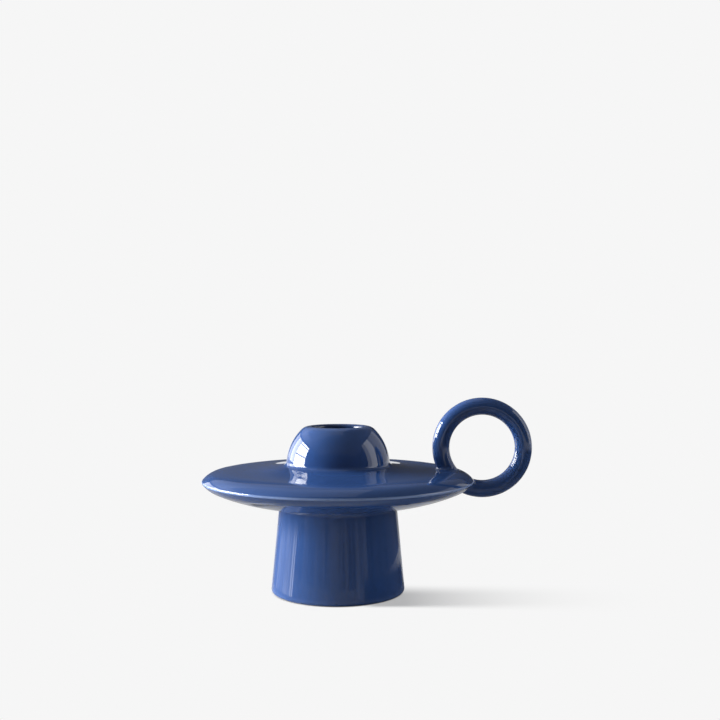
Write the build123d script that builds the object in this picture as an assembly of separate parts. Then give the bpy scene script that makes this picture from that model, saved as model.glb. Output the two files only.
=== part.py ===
from build123d import *
import math
import os

# A glazed ceramic chamberstick: a tapered foot, a hollow drip pan, a domed candle socket and a
# finger loop, each a separate piece of clay, luted to the next with a thin layer of slip.
# Sizes are in millimetres. The origin is on the axis at the level that the foot stands on,
# +Z is up along the candle and +X points to the finger loop.

# Foot
foot_height = 40.65
foot_base_radius = 31.0
neck_radius = 27.2
foot_wall = 4.2
foot_outer_round = 1.5
foot_inner_round = 1.0

# Neck, where the pan's lower skin carries the cove and a spigot that sits in the foot
neck_cove = 2.3
neck_joint_drop = 3.0
socket_wall = 3.2
spigot_length = 5.0
spigot_wall = 3.0

# Drip pan
pan_radius = 62.8
pan_rise = 11.1
edge_round = 1.0
edge_slope = 50.0
top_shoulder = 9.0
under_shoulder = 12.8
rim_land = 12.3
crown_rise = 6.25
pan_wall = 4.4
top_slope = 9.0
under_slope = 23.5

# Dome
dome_radius = 24.1
dome_wall = 4.0
dome_cove = 4.0
lip_width = 1.35
lip_round_share = 0.2
flange_depth = 2.2
flange_margin = 0.5

# Candle well, for a candle 22 mm thick
bore_radius = 11.5
bore_depth = 25.0
well_wall = 2.6
well_floor = 3.5
lip_inner_round = 1.5
well_floor_round = 2.0
shoulder_width = 2.5
shoulder_height = 2.0
seat_depth = 0.5
shoulder_clearance = 0.2

# Finger loop
loop_radius = 19.2
loop_tube_radius = 4.0
loop_offset = 4.2
loop_rise = 14.85

# Luting slip, held in shallow pockets so that clay meets clay at every visible seam
slip_thickness = 0.4
slip_margin = 1.0
edge_cover = 2.5
mouth_cover = 1.8

# Heights and radii that the pieces share
neck_z = foot_height
neck_joint_z = neck_z - neck_joint_drop
spigot_z = neck_joint_z - spigot_length
rim_z = neck_z + pan_rise
crown_z = rim_z + crown_rise
flange_z = crown_z - flange_depth
neck_joint_radius = neck_radius + (foot_base_radius - neck_radius) * neck_joint_drop / foot_height
spigot_radius = neck_joint_radius - socket_wall
throat_radius = spigot_radius - spigot_wall
cavity_radius = pan_radius - rim_land
dome_inner_radius = dome_radius - dome_wall
flange_radius = dome_radius + dome_cove + flange_margin
well_radius = bore_radius + well_wall
lip_radius = well_radius + lip_width
lip_outer_round = dome_radius * lip_round_share
shoulder_radius = well_radius + shoulder_width
lip_z = crown_z + math.sqrt(dome_radius**2 - lip_radius**2)
shoulder_z = crown_z + math.sqrt(dome_inner_radius**2 - well_radius**2) - seat_depth
well_floor_z = lip_z - bore_depth
loop_x = pan_radius + loop_offset
loop_z = rim_z + loop_rise


# A rectangle in the section plane, between two radii and two heights
def band(inner, outer, low, high):
    centre = Pos((inner + outer) / 2, (low + high) / 2)
    return centre * Rectangle(outer - inner, high - low)


# The corner of a section nearest to a radius and a height
def corner(section, radius, height):
    return section.vertices().sort_by_distance((radius, height))[0]


# A section turned about the vertical axis into a solid
def turned(section):
    return revolve(Plane.XZ * section, Axis.Z).solid()


# An arc of the section between two slopes of a skin, on its upper side (1) or its under side (-1)
def slope_arc(centre, radius, first, last, side):
    spots = [
        (
            centre[0] + radius * math.sin(math.radians(slope)),
            centre[1] + side * radius * math.cos(math.radians(slope)),
        )
        for slope in (first, (first + last) / 2, last)
    ]
    return ThreePointArc(*spots)


# A shoulder of the pan, from its thin edge to the slope where its skin begins
def shoulder_arc(radius, slope, side, growth):
    reach = radius - edge_round
    angle = math.radians(edge_slope)
    centre = (
        pan_radius - edge_round - reach * math.sin(angle),
        rim_z - side * reach * math.cos(angle),
    )
    return slope_arc(centre, radius + growth, edge_slope, slope, side)


# The pan's outline, filled to the axis: two gently bowed skins, whose shoulders run into a thin
# round edge. Growth moves the outline outwards, as a layer on the pan would.
def pan_section(growth=0):
    upper = shoulder_arc(top_shoulder, top_slope, 1, growth)
    lower = shoulder_arc(under_shoulder, under_slope, -1, growth)
    neck = (neck_radius, neck_z - growth)
    crown = (dome_radius, crown_z + growth)
    edge = ThreePointArc(lower @ 0, (pan_radius + growth, rim_z), upper @ 0)
    top = TangentArc(upper @ 1, crown, tangent=upper % 1)
    under = TangentArc(lower @ 1, neck, tangent=lower % 1)
    inside = Polyline(crown, (0, crown_z + growth), (0, neck_z - growth), neck)
    return make_face([under, lower, edge, upper, top, inside])


# The whole outside, filled to the axis, with its coves and rounded edges
def body_section():
    foot = make_face(
        Polyline((0, 0), (foot_base_radius, 0), (neck_radius, neck_z), (0, neck_z), close=True)
    )
    ball = Pos(0, crown_z) * Circle(dome_radius)
    dome = ball & band(0, dome_radius, crown_z, lip_z)
    section = foot + pan_section() + dome
    section = fillet(corner(section, neck_radius, neck_z), neck_cove)
    section = fillet(corner(section, dome_radius, crown_z), dome_cove)
    section = fillet(corner(section, lip_radius, lip_z), lip_outer_round)
    return fillet(corner(section, foot_base_radius, 0), foot_outer_round)


# The hollow of the pan, one wall in from each skin
def cavity_section():
    lens = pan_section()
    hollow = (Pos(0, pan_wall) * lens) & (Pos(0, -pan_wall) * lens)
    return hollow & band(0, cavity_radius, neck_z, crown_z)


# The band of slip round the spigot
def neck_slip_section():
    return band(
        spigot_radius - slip_thickness,
        spigot_radius,
        spigot_z + slip_margin,
        neck_joint_z - slip_margin,
    )


# The ring of slip between the pan's two skins
def rim_slip_section():
    return band(
        cavity_radius + slip_margin,
        pan_radius - edge_cover,
        rim_z - slip_thickness,
        rim_z,
    )


# The ring of slip under the dome's flange
def dome_slip_section():
    return band(
        dome_inner_radius + slip_margin,
        flange_radius - slip_margin,
        flange_z - slip_thickness,
        flange_z,
    )


# The band of slip between the candle well and the mouth of the dome
def well_slip_section():
    return band(
        well_radius,
        well_radius + slip_thickness,
        shoulder_z + slip_margin,
        lip_z - mouth_cover,
    )


# The tapered foot, hollow from its standing ring to the socket that takes the spigot
def foot():
    shell = body_section() & band(0, foot_base_radius, 0, neck_joint_z)
    hollow = make_face(
        Polyline(
            (0, 0),
            (foot_base_radius - foot_wall, 0),
            (neck_joint_radius - foot_wall, neck_joint_z),
            (0, neck_joint_z),
            close=True,
        )
    )
    section = shell - hollow - band(0, spigot_radius, spigot_z, neck_joint_z)
    section = fillet(corner(section, foot_base_radius - foot_wall, 0), foot_inner_round)
    return turned(section)


# The pan's lower skin, with the neck ring and the spigot under it
def pan_base():
    skin = body_section() & band(throat_radius, pan_radius, neck_joint_z, rim_z)
    spigot = band(throat_radius, spigot_radius, spigot_z, neck_joint_z)
    section = skin + spigot - cavity_section() - rim_slip_section() - neck_slip_section()
    return turned(section)


# The pan's upper skin, with the rebate for the dome's flange
def pan_top():
    skin = pan_section() & band(dome_inner_radius, pan_radius, rim_z, crown_z)
    rebate = band(0, flange_radius, flange_z, crown_z)
    return turned(skin - cavity_section() - rebate - dome_slip_section())


# The domed socket, with its cove, its flange and the mouth that the candle well fits
def dome():
    shell = body_section() & band(0, flange_radius, flange_z, lip_z)
    inside = Pos(0, crown_z) * Circle(dome_inner_radius) & band(0, dome_inner_radius, crown_z, lip_z)
    skirt = band(0, dome_inner_radius, flange_z, crown_z)
    mouth = band(0, well_radius, crown_z, lip_z)
    seat = band(0, shoulder_radius + shoulder_clearance, crown_z, shoulder_z)
    return turned(shell - inside - skirt - mouth - seat - well_slip_section())


# The cup that holds the candle, with the shoulder that seats under the dome. Its top carries on
# the round of the lip.
def candle_well():
    cup = body_section() & band(0, well_radius, well_floor_z - well_floor, lip_z)
    shoulder = band(well_radius, shoulder_radius, shoulder_z - shoulder_height, shoulder_z)
    bore = band(0, bore_radius, well_floor_z, lip_z)
    section = cup + shoulder - bore
    section = fillet(corner(section, bore_radius, lip_z), lip_inner_round)
    section = fillet(corner(section, bore_radius, well_floor_z), well_floor_round)
    section = fillet(corner(section, well_radius, well_floor_z - well_floor), well_floor_round)
    return turned(section)


# The whole ring of the loop, at a chosen tube radius
def ring(tube_radius):
    return Pos(loop_x, 0, loop_z) * Rot(90, 0, 0) * Torus(loop_radius, tube_radius)


# The two pads of slip that bed the loop on the pan
def loop_slip(pan):
    layer = turned(pan_section(slip_thickness))
    return (ring(loop_tube_radius - slip_margin) & layer) - pan


# The loop, cut to the pan's surface at both ends
def finger_loop(pan, pads):
    return ring(loop_tube_radius) - pan - pads


pan = turned(pan_section())
pads = loop_slip(pan)

pieces = {
    "foot": foot(),
    "pan_base": pan_base(),
    "pan_top": pan_top(),
    "dome": dome(),
    "candle_well": candle_well(),
    "finger_loop": finger_loop(pan, pads),
    "neck_slip": turned(neck_slip_section()),
    "rim_slip": turned(rim_slip_section()),
    "dome_slip": turned(dome_slip_section()),
    "well_slip": turned(well_slip_section()),
    "loop_slip": pads,
}

os.makedirs("parts", exist_ok=True)
for name, piece in pieces.items():
    export_step(piece, f"parts/{name}.step")
    print(name, "solids", len(piece.solids()), "volume", round(piece.volume))
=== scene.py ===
import math

import bpy
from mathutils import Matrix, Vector


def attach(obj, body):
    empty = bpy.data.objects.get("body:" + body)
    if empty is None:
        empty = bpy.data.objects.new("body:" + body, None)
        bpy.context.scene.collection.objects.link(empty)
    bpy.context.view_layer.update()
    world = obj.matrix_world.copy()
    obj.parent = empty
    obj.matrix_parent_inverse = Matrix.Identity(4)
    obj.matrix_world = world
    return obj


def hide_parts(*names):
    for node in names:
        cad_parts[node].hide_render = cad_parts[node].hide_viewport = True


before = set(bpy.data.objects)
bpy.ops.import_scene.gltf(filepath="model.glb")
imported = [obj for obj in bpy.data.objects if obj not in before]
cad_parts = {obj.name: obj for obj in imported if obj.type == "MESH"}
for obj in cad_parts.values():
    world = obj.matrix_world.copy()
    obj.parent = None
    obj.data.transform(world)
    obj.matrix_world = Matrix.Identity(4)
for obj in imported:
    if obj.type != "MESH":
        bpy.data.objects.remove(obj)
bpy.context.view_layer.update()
mm = 0.001
print("frame loaded:", len(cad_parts), "CAD nodes")


# Lines and circles of a section, in millimetres, as (radius from the axis, height)
def straight(through, towards):
    return {"through": Vector(through), "along": (Vector(towards) - Vector(through)).normalized()}


def circle(centre, radius):
    return {"centre": Vector(centre), "radius": radius}


def bowed(start, direction, end):
    # the circle that leaves start in a direction and passes through end
    start = Vector(start)
    across = Vector((-direction[1], direction[0]))
    chord = Vector(end) - start
    reach = chord.length_squared / (2 * chord.dot(across))
    return circle(start + across * reach, abs(reach))


def nearestOn(curve, point):
    if "radius" in curve:
        return curve["centre"] + (point - curve["centre"]).normalized() * curve["radius"]
    return curve["through"] + curve["along"] * (point - curve["through"]).dot(curve["along"])


def beside(point, curve, distance):
    # an extra point just along a curve, which keeps the shading true up to a seam
    return nearestOn(curve, Vector(point) + Vector(distance))


def atHeight(line, height):
    return line["through"] + line["along"] * ((height - line["through"].y) / line["along"].y)


def arcPoints(centre, start, end, count):
    first = Vector(start) - centre
    last = Vector(end) - centre
    startAngle = math.atan2(first.y, first.x)
    sweep = math.atan2(last.y, last.x) - startAngle
    sweep = (sweep + math.pi) % (2 * math.pi) - math.pi
    angles = [startAngle + sweep * step / count for step in range(count + 1)]
    return [centre + first.length * Vector((math.cos(a), math.sin(a))) for a in angles]


def restBall(first, second, radius, guess, tries=30):
    # where the middle of a ball lies when it touches two curves
    ball = Vector(guess)
    for attempt in range(tries):
        gapOne = ball - nearestOn(first, ball)
        gapTwo = ball - nearestOn(second, ball)
        a, b = gapOne.normalized(), gapTwo.normalized()
        shortOne, shortTwo = radius - gapOne.length, radius - gapTwo.length
        spread = a.x * b.y - a.y * b.x
        ball += Vector((shortOne * b.y - shortTwo * a.y, a.x * shortTwo - b.x * shortOne)) / spread
    return ball


def rollBall(first, second, radius, guess, count):
    # a round or a cove: the arc of a ball from one curve that it touches to the other
    ball = restBall(first, second, radius, guess)
    return arcPoints(ball, nearestOn(first, ball), nearestOn(second, ball), count)


def spots(*pairs):
    return [Vector(pair) for pair in pairs]


# Sizes that the pieces share, in millimetres and degrees
body = {
    "footHeight": 40.65,
    "footRadius": 31.0,
    "neckRadius": 27.2,
    "jointHeight": 37.65,  # where the foot ends and the neck ring begins
    "spigotRadius": 24.28,
    "spigotLow": 32.65,
    "panRadius": 62.8,
    "rimHeight": 51.75,
    "edgeRound": 1.0,
    "edgeSlope": 50.0,
    "topShoulder": 9.0,
    "underShoulder": 12.8,
    "topSlope": 9.0,
    "underSlope": 23.5,
    "flatRadius": 48.5,  # where the bow of the pan's top ends, and its sweep up to the dome begins
    "flatSlope": 1.0,
    "sweep": 148.0,
    "panWall": 4.4,
    "cavityRadius": 50.5,
    "crownHeight": 58.0,
    "domeRadius": 24.1,
    "domeWall": 4.0,
    "mouthRadius": 14.1,
    "flangeRadius": 28.6,
    "flangeDepth": 2.2,
    "slipPocket": 0.4,
    "slipMargin": 1.0,
    "edgeStep": 0.02,  # how far from a seam its extra row of points lies
    "flangeStep": 0.05,
    "lipStep": 0.04,
    "shoulderRows": 24,
    "edgeRows": 10,
    "steps": 256,
    "mergeGap": 0.002,
    "smoothAngle": 35,
}

edgeAngle = math.radians(body["edgeSlope"])
topAngle = math.radians(body["topSlope"])
underAngle = math.radians(body["underSlope"])
flatAngle = math.radians(body["flatSlope"])
neckCorner = (body["neckRadius"], body["footHeight"])


def lean(angle, side):
    # the way out of the pan where its skin has a slope, above (1) or below (-1)
    return Vector((math.sin(angle), side * math.cos(angle)))


# the pan's thin edge and its two shoulders
panEdge = circle((body["panRadius"] - body["edgeRound"], body["rimHeight"]), body["edgeRound"])
topShoulder = circle(
    panEdge["centre"] - (body["topShoulder"] - body["edgeRound"]) * lean(edgeAngle, 1),
    body["topShoulder"],
)
underShoulder = circle(
    panEdge["centre"] - (body["underShoulder"] - body["edgeRound"]) * lean(edgeAngle, -1),
    body["underShoulder"],
)
skinTop = topShoulder["centre"] + topShoulder["radius"] * lean(topAngle, 1)
skinUnder = underShoulder["centre"] + underShoulder["radius"] * lean(underAngle, -1)

# its top is bowed and then sweeps up to the dome, and its under side is one bow
topBow = (skinTop.x - body["flatRadius"]) / (math.sin(topAngle) - math.sin(flatAngle))
topSkin = circle(skinTop - topBow * lean(topAngle, 1), topBow)
flatSpot = topSkin["centre"] + topSkin["radius"] * lean(flatAngle, 1)
innerSkin = circle(flatSpot + body["sweep"] * lean(flatAngle, 1), body["sweep"])
underSkin = bowed(skinUnder, (-math.cos(underAngle), -math.sin(underAngle)), neckCorner)

coneLine = straight((body["footRadius"], 0), neckCorner)
neckJoint = atHeight(coneLine, body["jointHeight"])
insideRadius = body["domeRadius"] - body["domeWall"]
domeBall = circle((0, body["crownHeight"]), body["domeRadius"])
domeInside = circle((0, body["crownHeight"]), insideRadius)


def edgePoints(shoulder, start, side):
    # from the skin over the shoulder to the middle of the thin edge
    turn = panEdge["centre"] + body["edgeRound"] * lean(edgeAngle, side)
    middle = Vector((body["panRadius"], body["rimHeight"]))
    points = arcPoints(shoulder["centre"], start, turn, body["shoulderRows"])
    points += arcPoints(panEdge["centre"], turn, middle, body["edgeRows"])[1:]
    points.insert(-1, beside(middle, panEdge, (0, side * body["edgeStep"])))
    return points


def topHeight(radius):
    # the height of the pan's top at a radius
    skin, side = (topSkin, 1) if radius > body["flatRadius"] else (innerSkin, -1)
    return skin["centre"].y + side * math.sqrt(skin["radius"] ** 2 - (radius - skin["centre"].x) ** 2)


def ballHeight(radius, out):
    # the height of a ball round the dome's middle, this far out from the axis
    return body["crownHeight"] + math.sqrt(radius ** 2 - out ** 2)


def drawOutline(name, points, closed=True):
    # one vertex, extruded along the outline on the XZ plane
    bpy.ops.object.select_all(action="DESELECT")
    start = points[0]
    bpy.ops.mesh.primitive_plane_add(size=mm, location=(start[0] * mm, 0, start[1] * mm))
    piece = bpy.context.object
    piece.name = name
    piece.data.name = name
    bpy.ops.object.transform_apply(location=True, rotation=True, scale=True)
    bpy.ops.object.mode_set(mode="EDIT")
    bpy.ops.mesh.select_all(action="SELECT")
    bpy.ops.mesh.merge(type="CENTER")
    route = list(points) + ([start] if closed else [])
    for here, there in zip(route, route[1:]):
        step = ((there[0] - here[0]) * mm, 0, (there[1] - here[1]) * mm)
        bpy.ops.mesh.extrude_region_move(TRANSFORM_OT_translate={"value": step})
    return piece


def turnClay(name, points, closed=True):
    piece = drawOutline(name, points, closed)
    bpy.ops.mesh.select_all(action="SELECT")
    bpy.ops.mesh.remove_doubles(threshold=body["mergeGap"] * mm)
    bpy.ops.mesh.spin(steps=body["steps"], angle=2 * math.pi, center=(0, 0, 0), axis=(0, 0, 1))
    bpy.ops.mesh.select_all(action="SELECT")
    bpy.ops.mesh.remove_doubles(threshold=body["mergeGap"] * mm)
    bpy.ops.mesh.normals_make_consistent(inside=False)
    bpy.ops.object.mode_set(mode="OBJECT")
    bpy.ops.object.shade_smooth_by_angle(angle=math.radians(body["smoothAngle"]))
    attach(piece, "root")
    return piece


# The foot, with the socket for the spigot at its top
foot = {
    "wall": 4.2,
    "outerRound": 1.5,
    "innerRound": 1.0,
    "outerRows": 10,
    "innerRows": 8,
    "insideShares": (0.25, 0.5, 0.75),
    "outsideShares": (0.1, 0.3, 0.5, 0.7, 0.9),
}
standPlane = straight((0, 0), (1, 0))


def makeFoot():
    inner = body["footRadius"] - foot["wall"]
    insideLine = straight((inner, 0), (neckJoint.x - foot["wall"], body["jointHeight"]))
    socketInner = atHeight(insideLine, body["spigotLow"])
    guess = (body["footRadius"] - foot["outerRound"], foot["outerRound"])
    outer = rollBall(standPlane, coneLine, foot["outerRound"], guess, foot["outerRows"])
    guess = (inner + foot["innerRound"], foot["innerRound"])
    innerRound = rollBall(insideLine, standPlane, foot["innerRound"], guess, foot["innerRows"])
    points = [neckJoint]
    points += spots((body["spigotRadius"], body["jointHeight"]), (body["spigotRadius"], body["spigotLow"]))
    points += [socketInner]
    points += [socketInner.lerp(innerRound[0], share) for share in foot["insideShares"]]
    points += innerRound + outer
    points += [outer[-1].lerp(neckJoint, share) for share in foot["outsideShares"]]
    return turnClay("footClay", points)


# The pan's lower skin, with the neck ring and the spigot
panBase = {
    "throat": 21.28,
    "cove": 2.3,
    "edgeCover": 2.5,
    "hollowLow": 44.5,  # about the height of the hollow's floor at its outer end
    "coveRows": 14,
    "skinRows": 40,
    "hollowRows": 16,
}


def makePanBase():
    guess = (body["neckRadius"] + panBase["cove"], body["footHeight"] - panBase["cove"])
    cove = rollBall(coneLine, underSkin, panBase["cove"], guess, panBase["coveRows"])
    skin = arcPoints(underSkin["centre"], cove[-1], skinUnder, panBase["skinRows"])
    edge = edgePoints(underShoulder, skinUnder, -1)
    pocket, margin = body["slipPocket"], body["slipMargin"]
    throat, spigot = panBase["throat"], body["spigotRadius"]
    low, high = body["spigotLow"], body["jointHeight"]
    points = spots((throat, low), (spigot, low), (spigot, low + margin))
    points += spots((spigot - pocket, low + margin), (spigot - pocket, high - margin))
    points += spots((spigot, high - margin), (spigot, high))
    points += [neckJoint] + cove + skin[1:] + edge[1:]
    rim, hollow = body["rimHeight"], body["cavityRadius"]
    pocketEnd = body["panRadius"] - panBase["edgeCover"]
    points += spots((pocketEnd, rim), (pocketEnd, rim - pocket))
    points += spots((hollow + margin, rim - pocket), (hollow + margin, rim), (hollow, rim))
    wall = Vector((0, body["panWall"]))
    floorCurve = circle(underSkin["centre"] + wall, underSkin["radius"])
    floorEnd = nearestOn(underSkin, Vector((hollow, panBase["hollowLow"]))) + wall
    floorEnd.x = hollow
    floorEnd = nearestOn(floorCurve, floorEnd)
    floorStart = Vector(neckCorner) + wall
    points += arcPoints(floorCurve["centre"], floorEnd, floorStart, panBase["hollowRows"])
    points += spots((throat, floorStart.y))
    return turnClay("panBaseClay", points)


# The pan's upper skin, with the rebate for the dome's flange
panTop = {
    "hole": 20.1,
    "ceilingRadii": (24.1, 30.0, 36.0, 42.0, 47.0),
    "skinRows": 24,
}


def makePanTop():
    rim = edgePoints(topShoulder, skinTop, 1)[::-1]
    edge = Vector((body["flangeRadius"], topHeight(body["flangeRadius"])))
    skin = arcPoints(topSkin["centre"], skinTop, flatSpot, panTop["skinRows"])
    skin += arcPoints(innerSkin["centre"], flatSpot, edge, panTop["skinRows"])[1:]
    skin.insert(-1, beside(edge, innerSkin, (body["flangeStep"], 0)))
    rebate = body["crownHeight"] - body["flangeDepth"]
    pocket, margin = body["slipPocket"], body["slipMargin"]
    hole = panTop["hole"]
    points = rim + skin[1:]
    points += spots((edge.x, rebate), (edge.x - margin, rebate), (edge.x - margin, rebate - pocket))
    points += spots((hole + margin, rebate - pocket), (hole + margin, rebate), (hole, rebate))
    for radius in (hole, *panTop["ceilingRadii"], body["cavityRadius"]):
        points += spots((radius, topHeight(max(radius, body["domeRadius"])) - body["panWall"]))
    points += spots((body["cavityRadius"], body["rimHeight"]))
    return turnClay("panTopClay", points)


# The domed socket
dome = {
    "lipRadius": 15.45,
    "lipRound": 4.82,
    "seatRadius": 16.8,
    "seatDrop": 0.5,
    "cove": 2.2,
    "mouthCover": 1.8,
    "ledgeRows": 6,
    "coveRows": 16,
    "ballRows": 40,
    "lipRows": 20,
    "insideRows": 20,
}
lipHeight = ballHeight(body["domeRadius"], dome["lipRadius"])
shoulderHeight = ballHeight(insideRadius, body["mouthRadius"]) - dome["seatDrop"]
lipPlane = straight((0, lipHeight), (1, lipHeight))
lipGuess = (body["mouthRadius"], lipHeight - dome["lipRound"])
lipCurve = circle(restBall(domeBall, lipPlane, dome["lipRound"], lipGuess), dome["lipRound"])
mouthReach = body["mouthRadius"] - lipCurve["centre"].x
mouthTop = lipCurve["centre"].y + math.sqrt(dome["lipRound"] ** 2 - mouthReach ** 2)
mouthEdge = Vector((body["mouthRadius"], mouthTop))


def makeDome():
    edge = Vector((body["flangeRadius"], topHeight(body["flangeRadius"])))
    guess = (body["domeRadius"] + dome["cove"], body["crownHeight"] + dome["cove"])
    cove = rollBall(innerSkin, domeBall, dome["cove"], guess, dome["coveRows"])
    ledge = arcPoints(innerSkin["centre"], edge, cove[0], dome["ledgeRows"])
    ledge.insert(1, beside(edge, innerSkin, (-body["flangeStep"], 0)))
    lipStart = nearestOn(domeBall, lipCurve["centre"])
    lip = arcPoints(lipCurve["centre"], lipStart, mouthEdge, dome["lipRows"])
    lip.insert(-1, beside(mouthEdge, lipCurve, (body["lipStep"], 0)))
    ball = arcPoints(domeBall["centre"], cove[-1], lip[0], dome["ballRows"])
    mouth, seat = body["mouthRadius"], dome["seatRadius"]
    pocketTop, pocketLow = lipHeight - dome["mouthCover"], shoulderHeight + body["slipMargin"]
    pocketOut = mouth + body["slipPocket"]
    flange = body["crownHeight"] - body["flangeDepth"]
    points = spots((insideRadius, flange), (edge.x, flange))
    points += ledge + cove[1:] + ball[1:] + lip[1:]
    points += spots((mouth, pocketTop), (pocketOut, pocketTop), (pocketOut, pocketLow), (mouth, pocketLow))
    points += spots((mouth, shoulderHeight), (seat, shoulderHeight))
    seatWall = (seat, ballHeight(insideRadius, seat))
    skirt = (insideRadius, body["crownHeight"])
    points += arcPoints(domeInside["centre"], seatWall, skirt, dome["insideRows"])
    return turnClay("domeClay", points)


# The cup that holds the candle
well = {
    "boreRadius": 11.5,
    "boreDepth": 25.0,
    "floorThickness": 3.5,
    "shoulderRadius": 16.6,
    "shoulderThickness": 2.0,
    "lipRound": 1.5,
    "floorRound": 2.0,
    "crestRows": 4,
    "lipRows": 12,
    "floorRows": 8,
    "boreShares": (0.1, 0.3, 0.6),
    "floorSpot": 5,
}


def makeWell():
    bore, wall, corner = well["boreRadius"], body["mouthRadius"], well["floorRound"]
    floorHeight = lipHeight - well["boreDepth"]
    under = floorHeight - well["floorThickness"]
    boreWall = straight((bore, 0), (bore, 1))
    outerWall = straight((wall, 0), (wall, 1))
    floorPlane = straight((0, floorHeight), (1, floorHeight))
    underPlane = straight((0, under), (1, under))
    guess = (bore + well["lipRound"], lipHeight - well["lipRound"])
    lip = rollBall(lipPlane, boreWall, well["lipRound"], guess, well["lipRows"])
    inner = rollBall(boreWall, floorPlane, corner, (bore - corner, floorHeight + corner), well["floorRows"])
    outer = rollBall(underPlane, outerWall, corner, (wall - corner, under + corner), well["floorRows"])
    low, seat = shoulderHeight - well["shoulderThickness"], well["shoulderRadius"]
    points = spots((0, under)) + outer
    points += spots((wall, low), (seat, low), (seat, shoulderHeight), (wall, shoulderHeight))
    crestEnd = nearestOn(lipPlane, lipCurve["centre"])
    crest = arcPoints(lipCurve["centre"], mouthEdge, crestEnd, well["crestRows"])
    crest.insert(1, beside(mouthEdge, lipCurve, (-body["lipStep"], 0)))
    points += crest + lip + [lip[-1].lerp(inner[0], share) for share in well["boreShares"]]
    points += inner + spots((well["floorSpot"], floorHeight), (0, floorHeight))
    return turnClay("wellClay", points, closed=False)


# The finger loop: a ring of clay whose two ends flare on to the pan
loop = {
    "centre": (67.0, 66.6),
    "radius": 19.2,
    "thickness": 4.0,
    "upperFlare": (1.3, 3.0),  # on the outer side of the ring and in the finger hole
    "lowerFlare": (1.9, 1.9),
    "upperSearch": (90, 230),  # angles along the ring, clear of the pan and inside it
    "lowerSearch": (-60, -130),
    "halvings": 50,
    "sunk": 0.35,
    "lastStep": 0.15,
    "flareRows": 8,
    "rows": 256,
    "sides": 72,
    "smoothAngle": 50,
}


def steepness(spot, curve, side):
    # the slope of a skin straight below or above a spot, seen from the middle of its curve
    out = spot - curve["centre"]
    return math.atan2(out.x, side * out.y)


def panGap(point):
    # how far a point is from the pan, and the way straight out of it there
    spot = Vector((math.hypot(point.x, point.y), point.z))
    side, shoulder, skin, slope = -1, underShoulder, underSkin, underAngle
    if spot.y > body["rimHeight"]:
        side, shoulder, skin, slope = 1, topShoulder, topSkin, topAngle
    curve = panEdge
    if steepness(spot, panEdge, side) < edgeAngle:
        curve = shoulder
        if steepness(spot, shoulder, side) < slope:
            curve = skin
    out = spot - curve["centre"]
    gap = out.length - curve["radius"]
    out.normalize()
    around = Vector((point.x, point.y)).normalized()
    return gap, Vector((out.x * around.x, out.x * around.y, out.y))


def ringPoint(along, around, thickness):
    # a point of the ring, by the angle along it and the angle around its thickness
    reach = loop["radius"] + thickness * math.cos(around)
    x = loop["centre"][0] + reach * math.cos(along)
    z = loop["centre"][1] + reach * math.sin(along)
    return Vector((x, thickness * math.sin(around), z))


def flareAt(end, around):
    # the flare turns from its outer size to the one in the finger hole
    outer, inner = loop[end]
    return outer + (inner - outer) * (1 - math.cos(around)) / 2


def landing(around, flare, search):
    # where the ball of the flare touches the pan, on one side of the ring
    free, buried = math.radians(search[0]), math.radians(search[1])
    for attempt in range(loop["halvings"]):
        middle = (free + buried) / 2
        if panGap(ringPoint(middle, around, loop["thickness"] + flare))[0] > flare:
            free = middle
        else:
            buried = middle
    return free


def flarePoints(along, around, flare):
    # from the ring down to the pan, and a little into it
    ball = ringPoint(along, around, loop["thickness"] + flare)
    out = panGap(ball)[1]
    first = (ringPoint(along, around, loop["thickness"]) - ball).normalized()
    last = -out
    turn = first.angle(last)
    points = []
    for step in range(1, loop["flareRows"] + 1):
        share = step / loop["flareRows"]
        way = (first * math.sin((1 - share) * turn) + last * math.sin(share * turn)) / math.sin(turn)
        points.append(ball + way * flare)
    onward = (points[-1] - points[-2]).normalized()
    points.append(points[-1] - out * loop["sunk"] + onward * loop["lastStep"])
    return points


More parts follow.
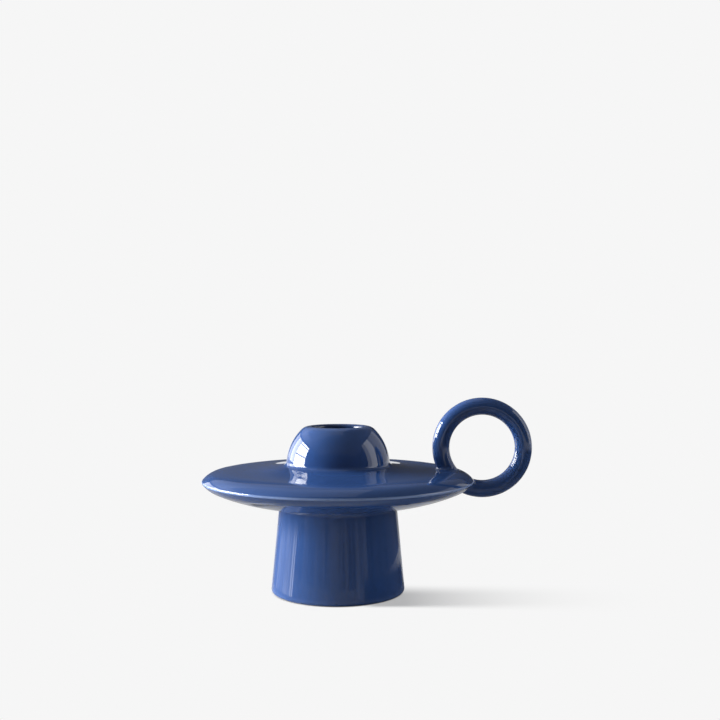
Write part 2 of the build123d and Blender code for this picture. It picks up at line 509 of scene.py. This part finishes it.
def makeLoop():
    bpy.ops.object.select_all(action="DESELECT")
    bpy.ops.mesh.primitive_torus_add(
        major_segments=loop["rows"],
        minor_segments=loop["sides"],
        major_radius=loop["radius"] * mm,
        minor_radius=loop["thickness"] * mm,
        location=(loop["centre"][0] * mm, 0, loop["centre"][1] * mm),
        rotation=(math.radians(90), 0, 0),
    )
    piece = bpy.context.object
    piece.name = "loopClay"
    piece.data.name = "loopClay"
    bpy.ops.object.transform_apply(location=True, rotation=True, scale=True)
    # cut the ring open between its last row and its first
    sides, rows = loop["sides"], loop["rows"]
    bpy.ops.object.mode_set(mode="EDIT")
    bpy.ops.mesh.select_all(action="DESELECT")
    bpy.ops.object.mode_set(mode="OBJECT")
    lastRow = (rows - 1) * sides
    for face in piece.data.polygons:
        corners = list(face.vertices)
        face.select = min(corners) < sides and max(corners) >= lastRow
    bpy.ops.object.mode_set(mode="EDIT")
    bpy.ops.mesh.delete(type="ONLY_FACE")
    bpy.ops.object.mode_set(mode="OBJECT")
    # slide the rows so that they end on the pan, with the flares at both ends
    bodyRows = rows - 2 * (loop["flareRows"] + 1)
    for side in range(sides):
        around = 2 * math.pi * side / sides
        lowerFlare, upperFlare = flareAt("lowerFlare", around), flareAt("upperFlare", around)
        lower = landing(around, lowerFlare, loop["lowerSearch"])
        upper = landing(around, upperFlare, loop["upperSearch"])
        line = list(reversed(flarePoints(lower, around, lowerFlare)))
        for row in range(bodyRows):
            along = lower + (upper - lower) * row / (bodyRows - 1)
            line.append(ringPoint(along, around, loop["thickness"]))
        line += flarePoints(upper, around, upperFlare)
        for row, point in enumerate(line):
            piece.data.vertices[row * sides + side].co = point * mm
    # close both ends inside the pan
    bpy.ops.object.mode_set(mode="EDIT")
    bpy.ops.mesh.select_mode(type="EDGE")
    bpy.ops.mesh.select_all(action="DESELECT")
    bpy.ops.mesh.select_non_manifold()
    bpy.ops.mesh.edge_face_add()
    bpy.ops.mesh.select_all(action="SELECT")
    bpy.ops.mesh.normals_make_consistent(inside=False)
    bpy.ops.mesh.select_mode(type="VERT")
    bpy.ops.object.mode_set(mode="OBJECT")
    bpy.ops.object.shade_smooth_by_angle(angle=math.radians(loop["smoothAngle"]))
    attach(piece, "root")
    return piece


footClay = makeFoot()
panBaseClay = makePanBase()
panTopClay = makePanTop()
domeClay = makeDome()
wellClay = makeWell()
print("turned pieces made")
loopClay = makeLoop()
print("finger loop made")

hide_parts("foot")
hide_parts("pan_base")
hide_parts("pan_top")
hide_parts("dome")
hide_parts("candle_well")
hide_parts("finger_loop")


# Materials, whose helpers put nodes into a tree
def newMaterial(name):
    material = bpy.data.materials.new(name)
    material.use_nodes = True
    return material, material.node_tree, material.node_tree.nodes["Principled BSDF"]


def putNode(tree, kind, **settings):
    node = tree.nodes.new(kind)
    for name, value in settings.items():
        setattr(node, name, value)
    return node


def feed(tree, value, socket):
    # a socket takes a number, a colour or another socket
    if isinstance(value, (int, float)):
        socket.default_value = value
    elif isinstance(value, (tuple, list)):
        socket.default_value = (*value, 1)
    else:
        tree.links.new(value, socket)


def putMath(tree, operation, first, second, clamp=False):
    node = putNode(tree, "ShaderNodeMath", operation=operation, use_clamp=clamp)
    feed(tree, first, node.inputs[0])
    feed(tree, second, node.inputs[1])
    return node.outputs[0]


def times(tree, first, second):
    return putMath(tree, "MULTIPLY", first, second)


def away(tree, value, middle):
    # how far a value is from a middle, either way
    return putMath(tree, "ABSOLUTE", putMath(tree, "SUBTRACT", value, middle), 0.0)


def putRange(tree, value, low, high, first=0.0, last=1.0, smooth=True):
    # a value between two limits, turned into a mask
    node = putNode(tree, "ShaderNodeMapRange")
    node.interpolation_type = "SMOOTHSTEP" if smooth else "LINEAR"
    feed(tree, value, node.inputs["Value"])
    for name, setting in (("From Min", low), ("From Max", high), ("To Min", first), ("To Max", last)):
        feed(tree, setting, node.inputs[name])
    return node.outputs["Result"]


def band(tree, value, limits, base=0.0):
    # a mask between two sizes in millimetres, counted from a base
    return putRange(tree, value, (base + limits[0]) * mm, (base + limits[1]) * mm)


def putNoise(tree, vector, scale, detail, roughness):
    node = putNode(tree, "ShaderNodeTexNoise")
    node.inputs["Scale"].default_value = scale
    node.inputs["Detail"].default_value = detail
    node.inputs["Roughness"].default_value = roughness
    feed(tree, vector, node.inputs["Vector"])
    return node.outputs["Fac"]


def putMix(tree, amount, first, second):
    # two colours, each a socket or three numbers
    node = putNode(tree, "ShaderNodeMix", data_type="RGBA")
    feed(tree, amount, node.inputs["Factor"])
    for name, value in (("A", first), ("B", second)):
        socket = [place for place in node.inputs if place.name == name and place.type == "RGBA"][0]
        feed(tree, value, socket)
    return [place for place in node.outputs if place.type == "RGBA"][0]


def putParts(tree, vector):
    node = putNode(tree, "ShaderNodeSeparateXYZ")
    feed(tree, vector, node.inputs[0])
    return node.outputs["X"], node.outputs["Y"], node.outputs["Z"]


def putLength(tree, vector):
    node = putNode(tree, "ShaderNodeVectorMath", operation="LENGTH")
    feed(tree, vector, node.inputs[0])
    return node.outputs["Value"]


def putBump(tree, height, distance, normal=None):
    node = putNode(tree, "ShaderNodeBump")
    node.inputs["Distance"].default_value = distance
    feed(tree, height, node.inputs["Height"])
    if normal:
        feed(tree, normal, node.inputs["Normal"])
    return node.outputs["Normal"]


def objectPlace(tree):
    return putNode(tree, "ShaderNodeTexCoord").outputs["Object"]


# Fired clay without glaze. A noise is (scale, detail, roughness).
clay = {
    "pale": (0.66, 0.58, 0.47),
    "dark": (0.47, 0.38, 0.28),
    "speck": (0.16, 0.11, 0.08),
    "cloud": (120.0, 4.0, 0.6),
    "grain": (2600.0, 3.0, 0.7),
    "speckScale": 1300.0,
    "speckSize": (0.10, 0.22),
    "speckShare": 0.45,
    "cloudRange": (0.3, 0.7),
    "grainRange": (0.2, 0.8),
    "roughness": (0.72, 0.95),
}


def makeClayGrain():
    # cloudy tone, sandy grain and a few dark specks, for the bare ring and the slip
    group = bpy.data.node_groups.new("clayGrain", "ShaderNodeTree")
    group.interface.new_socket("Vector", in_out="INPUT", socket_type="NodeSocketVector")
    group.interface.new_socket("Pale", in_out="INPUT", socket_type="NodeSocketColor")
    group.interface.new_socket("Dark", in_out="INPUT", socket_type="NodeSocketColor")
    group.interface.new_socket("Colour", in_out="OUTPUT", socket_type="NodeSocketColor")
    group.interface.new_socket("Roughness", in_out="OUTPUT", socket_type="NodeSocketFloat")
    group.interface.new_socket("Height", in_out="OUTPUT", socket_type="NodeSocketFloat")
    entry, leave = putNode(group, "NodeGroupInput"), putNode(group, "NodeGroupOutput")
    vector = entry.outputs["Vector"]
    cloud = putNoise(group, vector, *clay["cloud"])
    grain = putNoise(group, vector, *clay["grain"])
    speck = putNode(group, "ShaderNodeTexVoronoi")
    speck.inputs["Scale"].default_value = clay["speckScale"]
    feed(group, vector, speck.inputs["Vector"])
    dots = putRange(group, speck.outputs["Distance"], *clay["speckSize"], 1.0, 0.0)
    cloudy = putRange(group, cloud, *clay["cloudRange"])
    tone = putMix(group, cloudy, entry.outputs["Dark"], entry.outputs["Pale"])
    dotted = putMix(group, times(group, dots, clay["speckShare"]), tone, clay["speck"])
    feed(group, dotted, leave.inputs["Colour"])
    dull = putRange(group, grain, *clay["grainRange"], *clay["roughness"])
    feed(group, dull, leave.inputs["Roughness"])
    feed(group, putMath(group, "SUBTRACT", grain, dots), leave.inputs["Height"])
    return group


def putClay(tree, clayGrain, place, pale, dark):
    node = putNode(tree, "ShaderNodeGroup", node_tree=clayGrain)
    feed(tree, place, node.inputs["Vector"])
    feed(tree, pale, node.inputs["Pale"])
    feed(tree, dark, node.inputs["Dark"])
    return node.outputs["Colour"], node.outputs["Roughness"], node.outputs["Height"]


# The glaze, with its bands in millimetres. Bump heights are in metres.
glaze = {
    "thin": (0.300, 0.420, 0.740),  # where the glaze runs thin over an edge, and on the pan's edge a painted highlight line as well
    "plain": (0.034, 0.086, 0.260),
    "deep": (0.026, 0.070, 0.225),  # where it gathers in a cove
    "well": (0.008, 0.022, 0.070),  # painted shade inside the candle's bore, darker than the glaze itself
    "pit": (0.012, 0.022, 0.060),
    "colourShare": 0.8,  # how far the thin glaze with its painted highlight, and the painted shade in the well, go
    "edgeReach": (-1.2, -0.7),  # from the pan's radius
    "thinEdgeHighlightLine": (0.7, 0.2),  # above and below the middle of the pan's edge, where the thin glaze and its painted highlight line lie
    "edgeGuard": (0.15, 0.05),  # from the pan's radius, which keeps the painted highlight line off the loop
    "lipBand": (-0.9, 0.0),  # from the lip's height
    "lipReach": (20.0, 18.0),
    "footBand": (3.2, 0.8),
    "softShare": 0.10,  # how thin the glaze is on the lip and the foot, beside the pan's edge
    "boreShadeReach": (13.2, 11.8),
    "boreShadeBand": (45.0, 52.0),
    "neckPool": {"height": 39.5, "fade": (3.5, 0.0), "reach": (34.0, 30.0)},
    "domePool": {"radius": 26.5, "fade": (4.0, 0.0), "band": (53.5, 57.0)},
    "cloud": (34.0, 3.0, 0.5),
    "mottle": (310.0, 4.0, 0.65),
    "toneShares": (0.7, 0.3),  # of the cloud and of the mottle
    "toneRange": (0.36, 0.64),
    "toneDepth": 0.45,
    "pitScale": 420.0,
    "pitSize": (0.02, 0.07),
    "pitPatches": (160.0, 1.0, 0.5),
    "pitSparse": (0.60, 0.66),
    "pitShare": 0.5,
    "pitRoughness": 0.3,
    "pitDepth": 20.0,  # times the orange peel
    "glossRange": (0.3, 0.7),
    "roughness": (0.022, 0.050),
    "ior": 1.5,
    "wave": (55.0, 1.0, 0.5),
    "waveHeight": 0.00004,
    "peel": (700.0, 2.0, 0.5),
    "peelHeight": 0.0000007,
    "bareBelow": (0.6, 0.1),
    "bareWander": 0.6,
    "bareFacing": (-0.80, -0.93),
    "bareGrain": 0.00008,
}


def makeGlaze(clayGrain):
    material, tree, shader = newMaterial("blueGlaze")
    place = objectPlace(tree)
    across, deepways, height = putParts(tree, place)
    flat = putNode(tree, "ShaderNodeCombineXYZ")
    feed(tree, across, flat.inputs["X"])
    feed(tree, deepways, flat.inputs["Y"])
    radius = putLength(tree, flat.outputs[0])

    # the glaze breaks lighter over the pan's thin edge, with a painted highlight line along it, and a little
    # at the lip and the foot
    overEdge = band(tree, radius, glaze["edgeReach"], body["panRadius"])
    thinEdgeHighlightMask = band(tree, away(tree, height, body["rimHeight"] * mm), glaze["thinEdgeHighlightLine"])
    onPan = band(tree, radius, glaze["edgeGuard"], body["panRadius"])
    overLip = band(tree, height, glaze["lipBand"], lipHeight)
    overLip = times(tree, overLip, band(tree, radius, glaze["lipReach"]))
    overFoot = band(tree, height, glaze["footBand"])
    thin = times(tree, overEdge, times(tree, thinEdgeHighlightMask, onPan))
    others = putMath(tree, "MAXIMUM", overLip, overFoot)
    thin = putMath(tree, "MAXIMUM", thin, times(tree, others, glaze["softShare"]))

    # a painted shade darkens the inside of the well, and the glaze gathers deeper in the coves at the neck
    # and round the dome
    boreShade = times(tree, band(tree, radius, glaze["boreShadeReach"]), band(tree, height, glaze["boreShadeBand"]))
    pool = glaze["neckPool"]
    neckPool = band(tree, away(tree, height, pool["height"] * mm), pool["fade"])
    neckPool = times(tree, neckPool, band(tree, radius, pool["reach"]))
    pool = glaze["domePool"]
    domePool = band(tree, away(tree, radius, pool["radius"] * mm), pool["fade"])
    domePool = times(tree, domePool, band(tree, height, pool["band"]))
    pools = putMath(tree, "MAXIMUM", neckPool, domePool)

    cloud = putNoise(tree, place, *glaze["cloud"])
    mottle = putNoise(tree, place, *glaze["mottle"])
    cloudShare, mottleShare = glaze["toneShares"]
    tone = putMath(tree, "ADD", times(tree, cloud, cloudShare), times(tree, mottle, mottleShare))
    depth = times(tree, putRange(tree, tone, *glaze["toneRange"]), glaze["toneDepth"])
    deep = putMath(tree, "ADD", depth, pools, clamp=True)
    colour = putMix(tree, deep, glaze["plain"], glaze["deep"])
    # the thin glaze, and on the pan's edge the painted highlight line
    colour = putMix(tree, times(tree, thin, glaze["colourShare"]), colour, glaze["thin"])
    # the painted shade inside the well
    colour = putMix(tree, times(tree, boreShade, glaze["colourShare"]), colour, glaze["well"])

    # a few pinholes, each a tiny dull dimple
    hole = putNode(tree, "ShaderNodeTexVoronoi")
    hole.inputs["Scale"].default_value = glaze["pitScale"]
    feed(tree, place, hole.inputs["Vector"])
    sparse = putRange(tree, putNoise(tree, place, *glaze["pitPatches"]), *glaze["pitSparse"])
    pit = times(tree, putRange(tree, hole.outputs["Distance"], *glaze["pitSize"], 1.0, 0.0), sparse)
    colour = putMix(tree, times(tree, pit, glaze["pitShare"]), colour, glaze["pit"])

    # the ring that stands on the table is wiped bare
    facing = putNode(tree, "ShaderNodeTexCoord").outputs["Normal"]
    down = putRange(tree, putParts(tree, facing)[2], *glaze["bareFacing"])
    wander = putMath(tree, "SUBTRACT", height, times(tree, mottle, glaze["bareWander"] * mm))
    bareHigh, bareLow = glaze["bareBelow"]
    low = putRange(tree, wander, bareHigh * mm, bareLow * mm, smooth=False)
    bare = times(tree, down, low)
    clayColour, clayRoughness, clayHeight = putClay(tree, clayGrain, place, clay["pale"], clay["dark"])
    feed(tree, putMix(tree, bare, colour, clayColour), shader.inputs["Base Color"])

    gloss = putRange(tree, mottle, *glaze["glossRange"], *glaze["roughness"])
    gloss = putMath(tree, "ADD", gloss, times(tree, pit, glaze["pitRoughness"]))
    dull = putNode(tree, "ShaderNodeMix", data_type="FLOAT")
    feed(tree, bare, dull.inputs["Factor"])
    feed(tree, gloss, dull.inputs["A"])
    feed(tree, clayRoughness, dull.inputs["B"])
    feed(tree, dull.outputs["Result"], shader.inputs["Roughness"])
    shader.inputs["IOR"].default_value = glaze["ior"]

    # slow waves of the fluid glaze, its fine orange peel, and the grain where it is bare
    normal = putBump(tree, putNoise(tree, place, *glaze["wave"]), glaze["waveHeight"])
    peel = putNoise(tree, place, *glaze["peel"])
    peel = putMath(tree, "SUBTRACT", peel, times(tree, pit, glaze["pitDepth"]))
    normal = putBump(tree, peel, glaze["peelHeight"], normal)
    normal = putBump(tree, times(tree, clayHeight, bare), glaze["bareGrain"], normal)
    feed(tree, normal, shader.inputs["Normal"])
    return material


# The fired slip that joins the pieces
slip = {"pale": (0.70, 0.64, 0.54), "dark": (0.55, 0.47, 0.37), "relief": 0.00006}


def makeSlip(clayGrain):
    material, tree, shader = newMaterial("firedSlip")
    colour, roughness, height = putClay(tree, clayGrain, objectPlace(tree), slip["pale"], slip["dark"])
    feed(tree, colour, shader.inputs["Base Color"])
    feed(tree, roughness, shader.inputs["Roughness"])
    feed(tree, putBump(tree, height, slip["relief"]), shader.inputs["Normal"])
    return material


clayGrain = makeClayGrain()
blueGlaze = makeGlaze(clayGrain)
firedSlip = makeSlip(clayGrain)
for piece in (footClay, panBaseClay, panTopClay, domeClay, wellClay, loopClay):
    piece.data.materials.clear()
    piece.data.materials.append(blueGlaze)
for name in ("neck_slip", "rim_slip", "dome_slip", "well_slip", "loop_slip"):
    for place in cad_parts[name].material_slots:
        place.material = firedSlip
print("materials made")


# The studio, in metres: a tall window on the left, a pale wall on the right, and a dark room around
studio = {
    "white": 0.922,
    "dim": 0.1,
    "window": -4.0,
    "panes": [
        {"y": (-0.80, 1.78), "z": (0.08, 1.02), "strength": 25.5},
        {"y": (-0.80, 1.78), "z": (1.14, 2.22), "strength": 25.5},
        {"y": (-0.80, 1.78), "z": (2.34, 2.56), "strength": 25.5},
        {"y": (1.84, 4.0), "z": (0.08, 2.54), "strength": 7.0},
        {"y": (4.0, 7.4), "z": (0.0, 2.5), "strength": 2.3},
        {"y": (-0.80, 4.0), "z": (0.0, 0.08), "strength": 0.5},
    ],
    # sheers beside the window, which light the clay and stay out of its gloss
    "sheer": -3.95,
    "sheers": [
        {"y": (1.84, 4.0), "z": (0.08, 2.54), "strength": 10.0},
        {"y": (4.0, 7.4), "z": (0.0, 2.5), "strength": 6.0},
    ],
    "wall": 3.5,
    "wallParts": [
        {"y": (-1.20, -0.50), "z": (0.0, 3.2), "strength": 1.2},
        {"y": (-0.50, 0.87), "z": (0.0, 3.2), "strength": 2.3},
        {"y": (0.87, 2.40), "z": (0.0, 3.2), "strength": 0.8},
        {"y": (2.40, 5.60), "z": (0.0, 3.2), "strength": 0.7},
    ],
    "ceilingGlow": {"x": (-3.9, 0.6), "y": (-0.8, 3.4), "z": 3.9, "strength": 0.55},
}


def glowMaterial(name, strength):
    material = bpy.data.materials.new(name)
    material.use_nodes = True
    tree = material.node_tree
    tree.nodes.remove(tree.nodes["Principled BSDF"])
    glow = putNode(tree, "ShaderNodeEmission")
    glow.inputs["Strength"].default_value = strength
    feed(tree, glow.outputs[0], tree.nodes["Material Output"].inputs["Surface"])
    return material, tree, glow


def putBlend(tree, amount, first, second, output):
    # two shaders blended into the tree's output
    node = putNode(tree, "ShaderNodeMixShader")
    feed(tree, amount, node.inputs["Fac"])
    feed(tree, first.outputs[0], node.inputs[1])
    feed(tree, second.outputs[0], node.inputs[2])
    feed(tree, node.outputs[0], tree.nodes[output].inputs["Surface"])


def stretchSheet(name, middle, turn, width, depth, strength):
    # a glowing plane of a width and a depth, which the camera doesn't see
    bpy.ops.object.select_all(action="DESELECT")
    bpy.ops.mesh.primitive_plane_add(size=1, location=middle, rotation=(0, turn, 0))
    sheet = bpy.context.object
    sheet.name = name
    sheet.scale = (width, depth, 1)
    bpy.ops.object.transform_apply(location=True, rotation=True, scale=True)
    sheet.data.materials.append(glowMaterial(name, strength)[0])
    sheet.visible_camera = False
    return sheet


def makeSideCard(name, x, part):
    low, high = part["z"]
    near, far = part["y"]
    middle = (x, (near + far) / 2, (low + high) / 2)
    return stretchSheet(name, middle, math.radians(90), high - low, far - near, part["strength"])


def makeCeilingGlow():
    # only the gloss sees this one
    part = studio["ceilingGlow"]
    left, right = part["x"]
    near, far = part["y"]
    middle = ((left + right) / 2, (near + far) / 2, part["z"])
    sheet = stretchSheet("ceilingGlow", middle, 0, right - left, far - near, part["strength"])
    sheet.visible_diffuse = False
    sheet.visible_shadow = False


# Low curved cards that stand round the object and that only its gloss sees. Each has its first and
# last azimuth, clockwise from behind, its distance from the axis, its height and its strength.
cards = {
    "glowLeft": ((236, 256), 0.045, 0.036, 2.1),
    "glowSide": ((256, 275), 0.045, 0.034, 0.95),
    "glowBack": ((275, 335), 0.045, 0.034, 0.4),
    "flagLeft": ((246, 330), 0.30, 0.050, 0.25),
    "flagFront": ((130, 246), 0.15, 0.046, 0.33),
    "flagRight": ((40, 130), 0.15, 0.050, 0.10),
    "flagBack": ((5, 40), 0.16, 0.040, 0.40),
    "flagLow": ((70, 150), 0.042, 0.013, 0.05),
    "flagFarRight": ((55, 185), 0.26, 0.052, 0.10),
    "flagFarFront": ((185, 238), 0.26, 0.085, 0.25),
}

# What these cards show, with the lines in millimetres
marks = {
    "lined": "glowLeft",  # the card whose first edge is a pair of bright lines
    "lines": 1.5,
    "firstLine": (1.2, 0.6),
    "secondLine": (0.9, 0.3),
    "lineGap": 3.4,
    "stretch": (70, 70, 9),
    "streaks": (1.0, 3.0, 0.6),
    "streakRange": (0.35, 0.65),
    "streakShares": (0.5, 1.5),
    "fadeFrom": 0.65,
    "stepAngle": 2,
    "seed": 0.01,
}


def putLines(tree, place, start):
    # the distance from a card's first edge gives its two lines
    level = putNode(tree, "ShaderNodeVectorMath", operation="MULTIPLY")
    feed(tree, place, level.inputs[0])
    level.inputs[1].default_value = (1, 1, 0)
    along = putNode(tree, "ShaderNodeVectorMath", operation="DISTANCE")
    feed(tree, level.outputs[0], along.inputs[0])
    along.inputs[1].default_value = start
    distance = along.outputs["Value"]
    first = band(tree, distance, marks["firstLine"])
    second = band(tree, away(tree, distance, marks["lineGap"] * mm), marks["secondLine"])
    return times(tree, putMath(tree, "ADD", first, second), marks["lines"])


def makeRoundCard(name, azimuth, reach, top, strength):
    # a small plane is merged to a point, drawn up and turned round the axis
    bpy.ops.object.select_all(action="DESELECT")
    first = math.radians(azimuth[0])
    start = (reach * math.sin(first), reach * math.cos(first), 0)
    bpy.ops.mesh.primitive_plane_add(size=marks["seed"], location=start)
    card = bpy.context.object
    card.name = name
    bpy.ops.object.transform_apply(location=True, rotation=True, scale=True)
    bpy.ops.object.mode_set(mode="EDIT")
    bpy.ops.mesh.merge(type="CENTER")
    bpy.ops.mesh.extrude_region_move(TRANSFORM_OT_translate={"value": (0, 0, top)})
    bpy.ops.mesh.select_all(action="SELECT")
    turn = azimuth[1] - azimuth[0]
    steps = max(1, round(turn / marks["stepAngle"]))
    bpy.ops.mesh.spin(steps=steps, angle=math.radians(turn), center=(0, 0, 0), axis=(0, 0, 1))
    bpy.ops.object.mode_set(mode="OBJECT")
    material, tree, glow = glowMaterial(name, strength)
    # upright streaks, as furniture in a room would mirror
    place = objectPlace(tree)
    stretch = putNode(tree, "ShaderNodeMapping")
    stretch.inputs["Scale"].default_value = marks["stretch"]
    feed(tree, place, stretch.inputs["Vector"])
    bright = putNoise(tree, stretch.outputs["Vector"], *marks["streaks"])
    bright = putRange(tree, bright, *marks["streakRange"], *marks["streakShares"])
    if name == marks["lined"]:
        bright = putMath(tree, "ADD", bright, putLines(tree, place, start))
    feed(tree, times(tree, bright, strength), glow.inputs["Strength"])
    # and a top edge that fades out
    fade = putRange(tree, putParts(tree, place)[2], top * marks["fadeFrom"], top)
    putBlend(tree, fade, glow, putNode(tree, "ShaderNodeBsdfTransparent"), "Material Output")
    card.data.materials.append(material)
    card.visible_camera = False
    card.visible_diffuse = False
    card.visible_shadow = False
    card.visible_transmission = False


# The dark room, in metres from the object
room = {
    "x": (-4.1, 4.1),
    "y": (-4.5, 8.2),
    "z": (-0.1, 4.2),
    "strength": (0.08, 0.05),  # near and far
    "depth": (3.0, 8.0),
    "ceiling": 0.60,
    "ceilingHeight": (2.5, 3.2),
    "ceilingAcross": (0.6, -3.6),
    "ceilingPower": 1.6,
    "ceilingNear": {"y": (-2.5, 2.5), "share": (0.1, 1.4)},
    "ceilingFar": {"y": (3.5, 7.0), "share": (1.0, 0.45)},
    "overhead": 0.10,
    "farWall": 0.075,
    "farWallDepth": (6.5, 8.1),
    "farWallHeight": (2.8, 1.6),
    "farWallAcross": (1.2, -0.8),
}


def makeRoom():
    bpy.ops.object.select_all(action="DESELECT")
    sides = [room[axis] for axis in ("x", "y", "z")]
    bpy.ops.mesh.primitive_cube_add(size=1, location=[sum(side) / 2 for side in sides])
    shell = bpy.context.object
    shell.name = "darkRoom"
    shell.scale = [side[1] - side[0] for side in sides]
    bpy.ops.object.transform_apply(location=True, rotation=True, scale=True)
    material, tree, glow = glowMaterial("darkRoom", room["strength"][0])
    x, y, z = putParts(tree, objectPlace(tree))
    # the ceiling is lit above the window and fades across the room
    high = putRange(tree, z, *room["ceilingHeight"])
    leftward = putRange(tree, x, *room["ceilingAcross"], smooth=False)
    lit = times(tree, high, putMath(tree, "POWER", leftward, room["ceilingPower"]))
    lit = times(tree, lit, room["ceiling"])
    for part in (room["ceilingNear"], room["ceilingFar"]):
        lit = times(tree, lit, putRange(tree, y, *part["y"], *part["share"]))
    lit = putMath(tree, "ADD", lit, times(tree, high, room["overhead"]))
    # the far wall is pale low down
    farWall = times(tree, putRange(tree, y, *room["farWallDepth"]), putRange(tree, z, *room["farWallHeight"]))
    farWall = times(tree, farWall, putRange(tree, x, *room["farWallAcross"], 0.0, room["farWall"]))
    backward = putMath(tree, "ADD", putRange(tree, y, *room["depth"], *room["strength"]), farWall)
    feed(tree, putMath(tree, "ADD", lit, backward), glow.inputs["Strength"])
    shell.data.materials.append(material)
    shell.visible_camera = False


def seenShare(tree):
    # what the camera, the gloss and clear things see, as the white background
    path = putNode(tree, "ShaderNodeLightPath")
    seen = putMath(tree, "ADD", path.outputs["Is Camera Ray"], path.outputs["Is Glossy Ray"])
    return putMath(tree, "ADD", seen, path.outputs["Is Transmission Ray"], clamp=True)


# The paper that the object stands on, in metres from the axis
paper = {
    "size": 40,
    "near": 0.50,
    "far": 0.08,
    "fade": (0.12, 0.30),
    "mirrored": (0.22, 0.40),
    "roughness": 0.9,
    "shadow": 0.56,
    "shadowReach": (0.030, 0.160),
    "shadowPower": 3.0,
    "shadowStart": (0.008, 0.018),
    "shadowFront": (-0.0325, -0.0270),
    "shadowBack": (0.013, -0.010),
    "spreadFrom": 0.03,
    "spread": 0.12,
    "contactReach": (0.0312, 0.0300),
    "contact": 0.8,
}


def makeFloor():
    bpy.ops.object.select_all(action="DESELECT")
    bpy.ops.mesh.primitive_plane_add(size=paper["size"], location=(0, 0, 0))
    floor = bpy.context.object
    floor.name = "floor"
    material, tree, shader = newMaterial("floorPaper")
    place = objectPlace(tree)
    x, y = putParts(tree, place)[:2]
    length = putLength(tree, place)
    near, far = (paper["near"],) * 3, (paper["far"],) * 3
    feed(tree, putMix(tree, putRange(tree, length, *paper["fade"]), near, far), shader.inputs["Base Color"])
    shader.inputs["Roughness"].default_value = paper["roughness"]
    shader.inputs["Specular IOR Level"].default_value = 0.0
    # the real shadow shows to the right of the foot, and fades and spreads along the paper
    along = putRange(tree, x, *paper["shadowReach"], 1.0, 0.0, smooth=False)
    shade = times(tree, putMath(tree, "POWER", along, paper["shadowPower"]), paper["shadow"])
    shade = times(tree, shade, putRange(tree, x, *paper["shadowStart"]))
    spread = putMath(tree, "MAXIMUM", putMath(tree, "SUBTRACT", x, paper["spreadFrom"]), 0.0)
    spread = times(tree, spread, paper["spread"])
    frontLow = putMath(tree, "SUBTRACT", paper["shadowFront"][0], spread)
    frontHigh = putMath(tree, "ADD", paper["shadowFront"][1], spread)
    shade = times(tree, shade, putRange(tree, y, frontLow, frontHigh))
    shade = times(tree, shade, putRange(tree, y, *paper["shadowBack"]))
    contact = putRange(tree, length, *paper["contactReach"], 0.0, paper["contact"])
    # and the glaze mirrors the paper near the foot as it is lit
    gloss = putNode(tree, "ShaderNodeLightPath").outputs["Is Glossy Ray"]
    nearby = times(tree, putRange(tree, length, *paper["mirrored"], 1.0, 0.0), gloss)
    real = putMath(tree, "MAXIMUM", putMath(tree, "MAXIMUM", shade, contact), nearby)
    amount = times(tree, putMath(tree, "SUBTRACT", 1.0, real), seenShare(tree))
    glow = putNode(tree, "ShaderNodeEmission")
    feed(tree, (studio["white"],) * 3, glow.inputs["Color"])
    putBlend(tree, amount, shader, glow, "Material Output")
    floor.data.materials.append(material)


def makeWorld():
    world = bpy.data.worlds.new("studioWorld")
    bpy.context.scene.world = world
    world.use_nodes = True
    tree = world.node_tree
    dim = tree.nodes["Background"]
    feed(tree, (studio["dim"],) * 3, dim.inputs["Color"])
    white = putNode(tree, "ShaderNodeBackground")
    feed(tree, (studio["white"],) * 3, white.inputs["Color"])
    putBlend(tree, seenShare(tree), dim, white, "World Output")


makeFloor()
makeRoom()
for number, pane in enumerate(studio["panes"]):
    makeSideCard(f"windowPane{number}", studio["window"], pane)
for number, sheer in enumerate(studio["sheers"]):
    makeSideCard(f"windowSheer{number}", studio["sheer"], sheer).visible_glossy = False
for number, part in enumerate(studio["wallParts"]):
    makeSideCard(f"paleWall{number}", studio["wall"], part)
for name, card in cards.items():
    makeRoundCard(name, *card)
makeCeilingGlow()
makeWorld()
print("studio made")

camera = {"place": (0.01018, -0.4553, 0.1122), "tilt": 0.62, "lens": 48.96, "sensor": 36}
bpy.ops.object.camera_add(location=camera["place"], rotation=(math.radians(90 - camera["tilt"]), 0, 0))
viewer = bpy.context.object
viewer.name = "photoCamera"
viewer.data.lens = camera["lens"]
viewer.data.sensor_width = camera["sensor"]
bpy.context.scene.camera = viewer
bpy.context.scene.view_settings.view_transform = "Standard"

bpy.context.view_layer.update()
